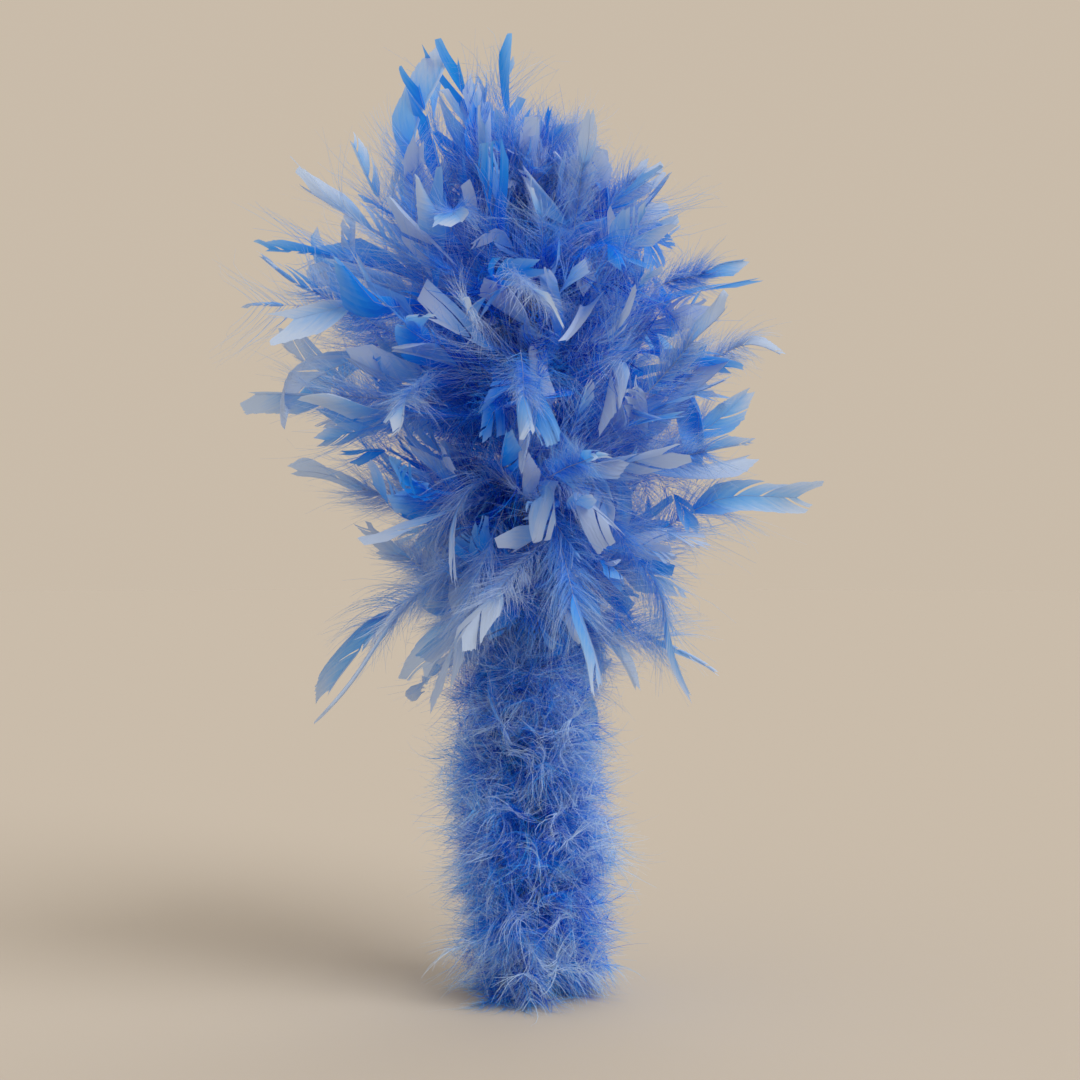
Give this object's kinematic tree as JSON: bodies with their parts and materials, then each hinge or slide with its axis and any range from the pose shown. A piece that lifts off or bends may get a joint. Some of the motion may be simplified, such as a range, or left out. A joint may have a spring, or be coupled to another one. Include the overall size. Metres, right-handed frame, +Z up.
{
  "type": "feather boa",
  "caption": "Stand-up plume made of two feather boas wound up a rod: a fluffy down stem and an egg-shaped head of long loose feathers.",
  "frame": {"origin": "middle of the rod's lower end, where a stand, socket or hand holds it", "axes": "+Z up the rod; -Y is the front; the boas climb counterclockwise from +X as seen from above"},
  "size_m": [0.3492, 0.2858, 0.5757],
  "materials": {
    "rod_wood": "plain turned dowel",
    "collar_plastic": "milky translucent",
    "cord_thread": "twisted cotton, dyed",
    "marabou_down": "soft down, dyed blue",
    "chandelle_down": "feather barbs, dyed blue",
    "feather_vane": "satin feather vane, dyed blue"
  },
  "bodies": {
    "stem": {"core_rod": "rod_wood", "foot_collar": "collar_plastic", "marabou_cord": "cord_thread", "chandelle_cord": "cord_thread", "foot_whipping": "cord_thread", "join_whipping": "cord_thread", "crown_whipping": "cord_thread", "marabou_turn_1": "marabou_down", "marabou_turn_2": "marabou_down", "marabou_turn_3": "marabou_down", "marabou_turn_4": "marabou_down", "chandelle_turn_1": "chandelle_down", "chandelle_turn_2": "chandelle_down", "chandelle_turn_3": "chandelle_down", "chandelle_turn_4": "chandelle_down", "chandelle_turn_5": "chandelle_down", "crown_tuft": "chandelle_down"},
    "left_feather_1": {"left_feather_1": "feather_vane"},
    "left_feather_2": {"left_feather_2": "feather_vane"},
    "left_feather_3": {"left_feather_3": "feather_vane"},
    "left_feather_4": {"left_feather_4": "feather_vane"},
    "left_feather_5": {"left_feather_5": "feather_vane"},
    "left_feather_6": {"left_feather_6": "feather_vane"},
    "left_feather_7": {"left_feather_7": "feather_vane"},
    "left_feather_8": {"left_feather_8": "feather_vane"},
    "right_feather_1": {"right_feather_1": "feather_vane"},
    "right_feather_2": {"right_feather_2": "feather_vane"},
    "right_feather_3": {"right_feather_3": "feather_vane"},
    "right_feather_4": {"right_feather_4": "feather_vane"},
    "right_feather_5": {"right_feather_5": "feather_vane"},
    "right_feather_6": {"right_feather_6": "feather_vane"},
    "right_feather_7": {"right_feather_7": "feather_vane"},
    "right_feather_8": {"right_feather_8": "feather_vane"},
    "front_feather_1": {"front_feather_1": "feather_vane"},
    "front_feather_2": {"front_feather_2": "feather_vane"},
    "front_feather_3": {"front_feather_3": "feather_vane"},
    "front_feather_4": {"front_feather_4": "feather_vane"},
    "front_feather_5": {"front_feather_5": "feather_vane"},
    "front_feather_6": {"front_feather_6": "feather_vane"},
    "front_feather_7": {"front_feather_7": "feather_vane"},
    "front_feather_8": {"front_feather_8": "feather_vane"},
    "crown_feather_1": {"crown_feather_1": "feather_vane"},
    "crown_feather_2": {"crown_feather_2": "feather_vane"},
    "crown_feather_3": {"crown_feather_3": "feather_vane"},
    "crown_feather_4": {"crown_feather_4": "feather_vane"},
    "crown_feather_5": {"crown_feather_5": "feather_vane"},
    "crown_feather_6": {"crown_feather_6": "feather_vane"},
    "back_feather_1": {"back_feather_1": "feather_vane"},
    "back_feather_2": {"back_feather_2": "feather_vane"},
    "back_feather_3": {"back_feather_3": "feather_vane"},
    "back_feather_4": {"back_feather_4": "feather_vane"},
    "back_feather_5": {"back_feather_5": "feather_vane"},
    "back_feather_6": {"back_feather_6": "feather_vane"},
    "back_feather_7": {"back_feather_7": "feather_vane"},
    "back_feather_8": {"back_feather_8": "feather_vane"}
  },
  "joints": [
    {"name": "left_feather_1_flex", "type": "hinge", "parent": "stem", "child": "left_feather_1", "pos_m": [-0.09943, -0.01897, 0.40456], "axis": [-0.4402, 0.3048, -0.8446], "range_deg": [-15, 15], "stiffness_Nm_per_rad": 0.005},
    {"name": "left_feather_2_flex", "type": "hinge", "parent": "stem", "child": "left_feather_2", "pos_m": [-0.09494, 0.03759, 0.39988], "axis": [-0.4242, 0.3201, -0.8471], "range_deg": [-15, 15], "stiffness_Nm_per_rad": 0.005},
    {"name": "left_feather_3_flex", "type": "hinge", "parent": "stem", "child": "left_feather_3", "pos_m": [-0.09759, 0.00614, 0.35048], "axis": [-0.5429, 0.4418, -0.7142], "range_deg": [-15, 15], "stiffness_Nm_per_rad": 0.005},
    {"name": "left_feather_4_flex", "type": "hinge", "parent": "stem", "child": "left_feather_4", "pos_m": [-0.08808, -0.04488, 0.3549], "axis": [-0.1463, 0.4819, -0.8639], "range_deg": [-15, 15], "stiffness_Nm_per_rad": 0.005},
    {"name": "left_feather_5_flex", "type": "hinge", "parent": "stem", "child": "left_feather_5", "pos_m": [-0.07989, -0.00755, 0.29978], "axis": [-0.3476, 0.2351, -0.9077], "range_deg": [-15, 15], "stiffness_Nm_per_rad": 0.005},
    {"name": "left_feather_6_flex", "type": "hinge", "parent": "stem", "child": "left_feather_6", "pos_m": [-0.0563, -0.02436, 0.25038], "axis": [-0.5637, 0.4083, -0.718], "range_deg": [-15, 15], "stiffness_Nm_per_rad": 0.005},
    {"name": "left_feather_7_flex", "type": "hinge", "parent": "stem", "child": "left_feather_7", "pos_m": [-0.0535, 0.02517, 0.24336], "axis": [0.346, 0.2856, -0.8937], "range_deg": [-15, 15], "stiffness_Nm_per_rad": 0.005},
    {"name": "left_feather_8_flex", "type": "hinge", "parent": "stem", "child": "left_feather_8", "pos_m": [-0.05012, -0.03641, 0.2522], "axis": [0.1723, 0.8615, -0.4777], "range_deg": [-15, 15], "stiffness_Nm_per_rad": 0.005},
    {"name": "right_feather_1_flex", "type": "hinge", "parent": "stem", "child": "right_feather_1", "pos_m": [0.05291, 0.01009, 0.22256], "axis": [0.256, -0.4914, 0.8325], "range_deg": [-15, 15], "stiffness_Nm_per_rad": 0.005},
    {"name": "right_feather_2_flex", "type": "hinge", "parent": "stem", "child": "right_feather_2", "pos_m": [0.0572, -0.0363, 0.26832], "axis": [0.3394, -0.884, 0.3214], "range_deg": [-15, 15], "stiffness_Nm_per_rad": 0.005},
    {"name": "right_feather_3_flex", "type": "hinge", "parent": "stem", "child": "right_feather_3", "pos_m": [0.06955, 0, 0.273], "axis": [-0.5724, -0.309, 0.7595], "range_deg": [-15, 15], "stiffness_Nm_per_rad": 0.005},
    {"name": "right_feather_4_flex", "type": "hinge", "parent": "stem", "child": "right_feather_4", "pos_m": [0.08361, -0.0301, 0.32214], "axis": [-0.2055, -0.4715, 0.8576], "range_deg": [-15, 15], "stiffness_Nm_per_rad": 0.005},
    {"name": "right_feather_5_flex", "type": "hinge", "parent": "stem", "child": "right_feather_5", "pos_m": [0.08778, 0.02254, 0.32708], "axis": [-0.4994, -0.4156, 0.7602], "range_deg": [-15, 15], "stiffness_Nm_per_rad": 0.005},
    {"name": "right_feather_6_flex", "type": "hinge", "parent": "stem", "child": "right_feather_6", "pos_m": [0.10157, -0.01283, 0.37596], "axis": [-0.6364, -0.309, 0.7068], "range_deg": [-15, 15], "stiffness_Nm_per_rad": 0.005},
    {"name": "right_feather_7_flex", "type": "hinge", "parent": "stem", "child": "right_feather_7", "pos_m": [0.0805, -0.06244, 0.37154], "axis": [-0.7581, -0.2794, 0.5892], "range_deg": [-15, 15], "stiffness_Nm_per_rad": 0.005},
    {"name": "right_feather_8_flex", "type": "hinge", "parent": "stem", "child": "right_feather_8", "pos_m": [0.08877, -0.02884, 0.4264], "axis": [-0.3018, -0.4801, 0.8236], "range_deg": [-15, 15], "stiffness_Nm_per_rad": 0.005},
    {"name": "front_feather_1_flex", "type": "hinge", "parent": "stem", "child": "front_feather_1", "pos_m": [-0.02873, -0.05639, 0.2561], "axis": [-0.6064, 0.7883, -0.104], "range_deg": [-15, 15], "stiffness_Nm_per_rad": 0.005},
    {"name": "front_feather_2_flex", "type": "hinge", "parent": "stem", "child": "front_feather_2", "pos_m": [-0.00606, -0.0641, 0.25922], "axis": [-0.7821, 0.6114, -0.1205], "range_deg": [-15, 15], "stiffness_Nm_per_rad": 0.005},
    {"name": "front_feather_3_flex", "type": "hinge", "parent": "stem", "child": "front_feather_3", "pos_m": [0.02028, -0.0624, 0.2626], "axis": [-0.8425, -0.5289, 0.1021], "range_deg": [-15, 15], "stiffness_Nm_per_rad": 0.005},
    {"name": "front_feather_4_flex", "type": "hinge", "parent": "stem", "child": "front_feather_4", "pos_m": [0.02135, -0.08316, 0.31408], "axis": [-0.7788, -0.2894, 0.5565], "range_deg": [-15, 15], "stiffness_Nm_per_rad": 0.005},
    {"name": "front_feather_5_flex", "type": "hinge", "parent": "stem", "child": "front_feather_5", "pos_m": [-0.06349, -0.07674, 0.35828], "axis": [-0.9041, 0.3207, -0.2823], "range_deg": [-15, 15], "stiffness_Nm_per_rad": 0.005},
    {"name": "front_feather_6_flex", "type": "hinge", "parent": "stem", "child": "front_feather_6", "pos_m": [-0.00316, -0.10062, 0.36374], "axis": [-0.9577, -0.2459, 0.1496], "range_deg": [-15, 15], "stiffness_Nm_per_rad": 0.005},
    {"name": "front_feather_7_flex", "type": "hinge", "parent": "stem", "child": "front_feather_7", "pos_m": [-0.0437, -0.05282, 0.46228], "axis": [-0.9769, -0.0564, -0.2059], "range_deg": [-15, 15], "stiffness_Nm_per_rad": 0.005},
    {"name": "front_feather_8_flex", "type": "hinge", "parent": "stem", "child": "front_feather_8", "pos_m": [-0.00308, -0.09791, 0.41574], "axis": [-0.6989, -0.602, 0.3861], "range_deg": [-15, 15], "stiffness_Nm_per_rad": 0.005},
    {"name": "crown_feather_1_flex", "type": "hinge", "parent": "stem", "child": "crown_feather_1", "pos_m": [-0.06593, -0.02853, 0.45838], "axis": [-0.9927, 0.001, -0.1207], "range_deg": [-15, 15], "stiffness_Nm_per_rad": 0.005},
    {"name": "crown_feather_2_flex", "type": "hinge", "parent": "stem", "child": "crown_feather_2", "pos_m": [-0.07383, 0.01896, 0.45292], "axis": [-0.89, 0.3694, -0.2675], "range_deg": [-15, 15], "stiffness_Nm_per_rad": 0.005},
    {"name": "crown_feather_3_flex", "type": "hinge", "parent": "stem", "child": "crown_feather_3", "pos_m": [0.02878, -0.05235, 0.47216], "axis": [-0.7361, 0.5604, 0.3796], "range_deg": [-15, 15], "stiffness_Nm_per_rad": 0.005},
    {"name": "crown_feather_4_flex", "type": "hinge", "parent": "stem", "child": "crown_feather_4", "pos_m": [0.05168, -0.01327, 0.47892], "axis": [-0.7471, -0.2156, 0.6288], "range_deg": [-15, 15], "stiffness_Nm_per_rad": 0.005},
    {"name": "crown_feather_5_flex", "type": "hinge", "parent": "stem", "child": "crown_feather_5", "pos_m": [0.03685, 0.07831, 0.43836], "axis": [0.9813, -0.0207, -0.1913], "range_deg": [-15, 15], "stiffness_Nm_per_rad": 0.005},
    {"name": "crown_feather_6_flex", "type": "hinge", "parent": "stem", "child": "crown_feather_6", "pos_m": [-0.04335, 0.06831, 0.44668], "axis": [0.972, 0.1179, 0.2034], "range_deg": [-15, 15], "stiffness_Nm_per_rad": 0.005},
    {"name": "back_feather_1_flex", "type": "hinge", "parent": "stem", "child": "back_feather_1", "pos_m": [0.03511, 0.04245, 0.22828], "axis": [0.8858, -0.3448, 0.3106], "range_deg": [-15, 15], "stiffness_Nm_per_rad": 0.005},
    {"name": "back_feather_2_flex", "type": "hinge", "parent": "stem", "child": "back_feather_2", "pos_m": [-0.037, 0.04473, 0.23972], "axis": [0.8858, 0.3448, -0.3106], "range_deg": [-15, 15], "stiffness_Nm_per_rad": 0.005},
    {"name": "back_feather_3_flex", "type": "hinge", "parent": "stem", "child": "back_feather_3", "pos_m": [0.04616, 0.05579, 0.28028], "axis": [0.8193, -0.4433, 0.3635], "range_deg": [-15, 15], "stiffness_Nm_per_rad": 0.005},
    {"name": "back_feather_4_flex", "type": "hinge", "parent": "stem", "child": "back_feather_4", "pos_m": [-0.04908, 0.05933, 0.29172], "axis": [0.8193, 0.4433, -0.3635], "range_deg": [-15, 15], "stiffness_Nm_per_rad": 0.005},
    {"name": "back_feather_5_flex", "type": "hinge", "parent": "stem", "child": "back_feather_5", "pos_m": [0.0589, 0.07119, 0.33228], "axis": [0.7468, -0.5509, 0.3726], "range_deg": [-15, 15], "stiffness_Nm_per_rad": 0.005},
    {"name": "back_feather_6_flex", "type": "hinge", "parent": "stem", "child": "back_feather_6", "pos_m": [-0.06116, 0.07393, 0.34372], "axis": [0.7468, 0.5509, -0.3726], "range_deg": [-15, 15], "stiffness_Nm_per_rad": 0.005},
    {"name": "back_feather_7_flex", "type": "hinge", "parent": "stem", "child": "back_feather_7", "pos_m": [0.06561, 0.07931, 0.38428], "axis": [0.6768, -0.6546, 0.3367], "range_deg": [-15, 15], "stiffness_Nm_per_rad": 0.005},
    {"name": "back_feather_8_flex", "type": "hinge", "parent": "stem", "child": "back_feather_8", "pos_m": [-0.06542, 0.07908, 0.39572], "axis": [0.6768, 0.6546, -0.3367], "range_deg": [-15, 15], "stiffness_Nm_per_rad": 0.005}
  ]
}
